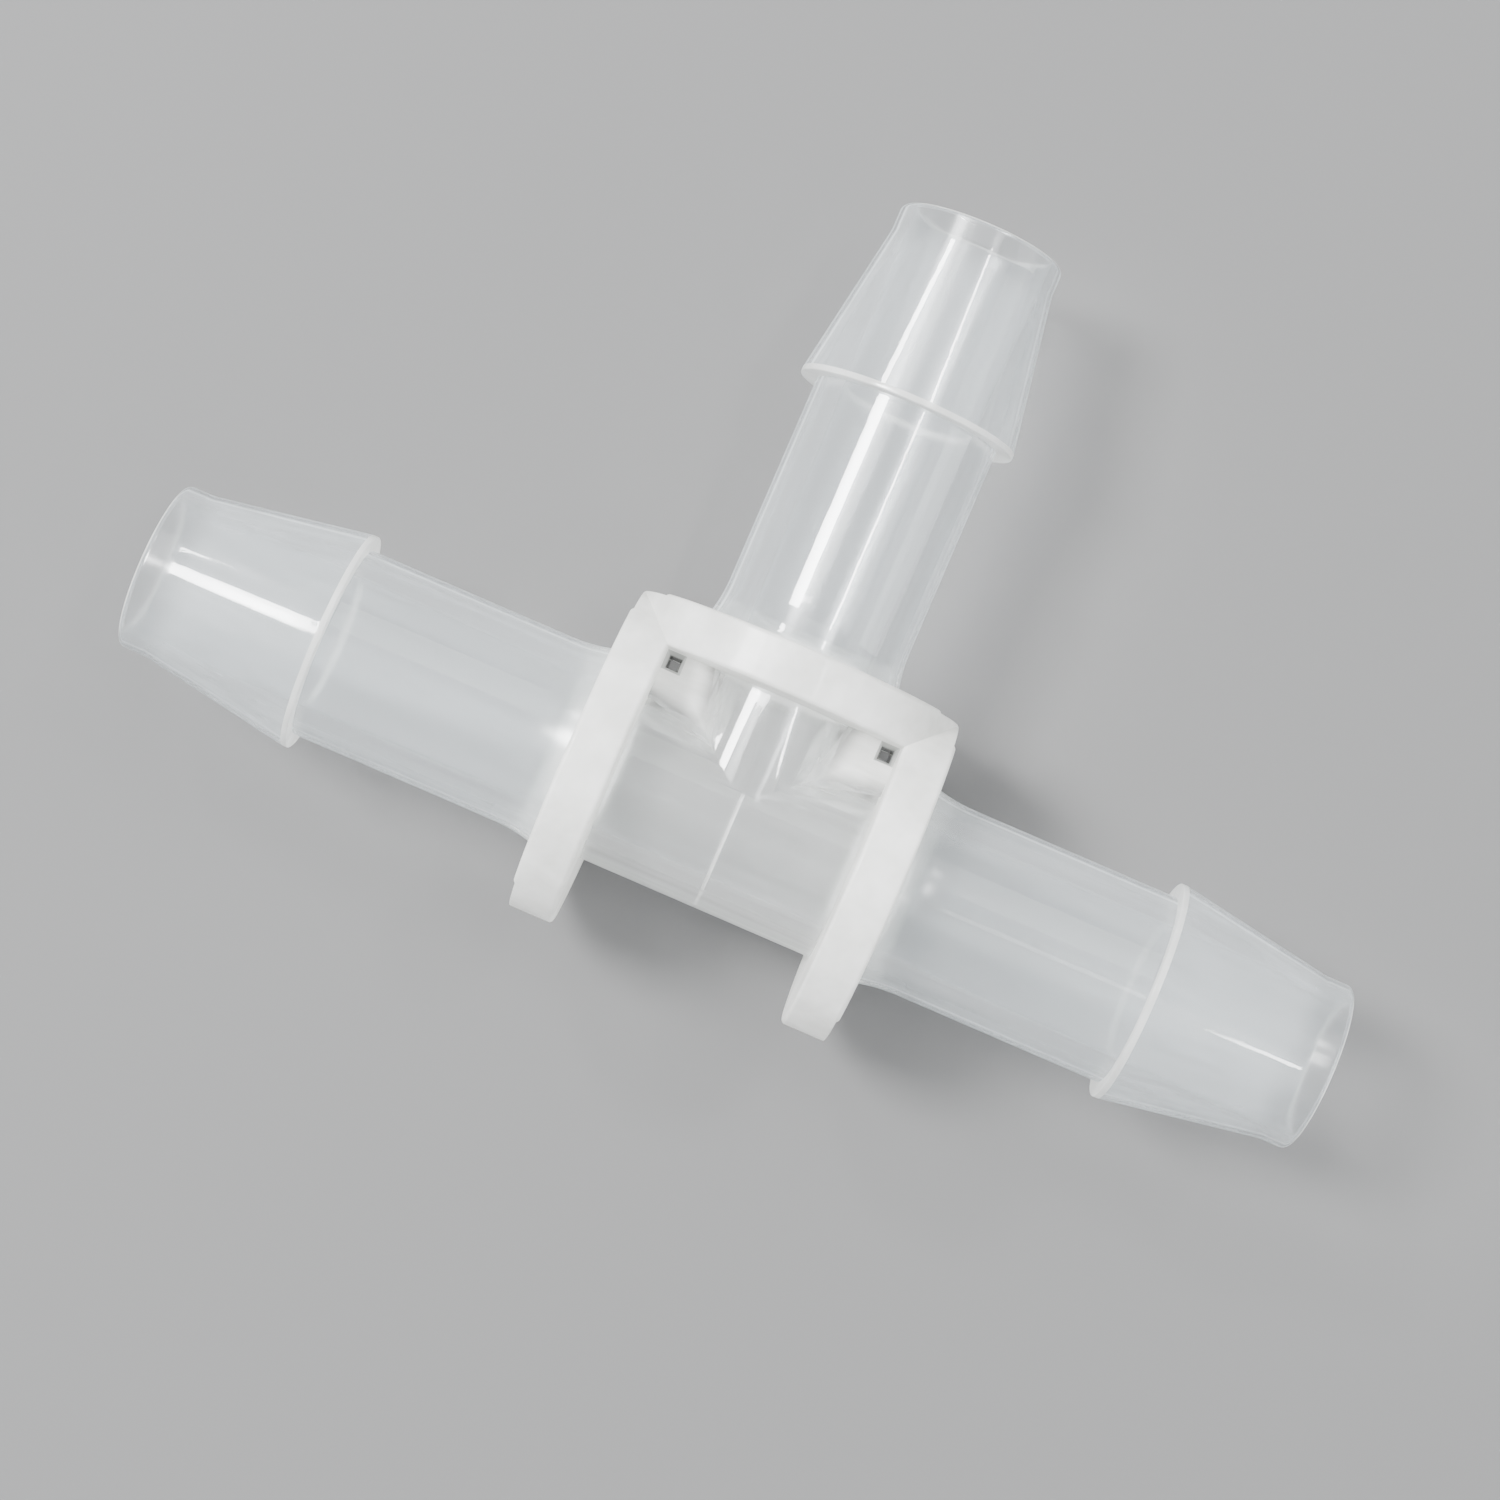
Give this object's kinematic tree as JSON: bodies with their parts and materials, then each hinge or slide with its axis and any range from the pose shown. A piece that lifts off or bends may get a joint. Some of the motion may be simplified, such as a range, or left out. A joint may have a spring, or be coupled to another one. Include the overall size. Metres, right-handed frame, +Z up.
{
  "type": "barbed tee connector",
  "caption": "Equal barbed tee in milky translucent plastic that joins soft hoses, with a long tapered barb, a smooth spigot and a round stop collar on each arm.",
  "frame": {"origin": "where the run's axis and the branch's axis meet, at mid height", "axes": "+X along the run to the right arm, +Y along the branch, +Z up when the tee lies flat"},
  "size_m": [0.076, 0.0483, 0.0206],
  "materials": {
    "thick_polypropylene": "milky translucent polypropylene where the moulding is thick, satin gloss",
    "thin_polypropylene": "milky translucent polypropylene where the wall is thin, satin gloss"
  },
  "bodies": {
    "root": {"run_body": "thick_polypropylene", "branch_body": "thick_polypropylene", "left_corner_web": "thick_polypropylene", "right_corner_web": "thick_polypropylene", "left_collar": "thick_polypropylene", "left_spigot": "thin_polypropylene", "left_barb": "thin_polypropylene", "right_collar": "thick_polypropylene", "right_spigot": "thin_polypropylene", "right_barb": "thin_polypropylene", "branch_collar": "thick_polypropylene", "branch_spigot": "thin_polypropylene", "branch_barb": "thin_polypropylene"}
  },
  "joints": []
}
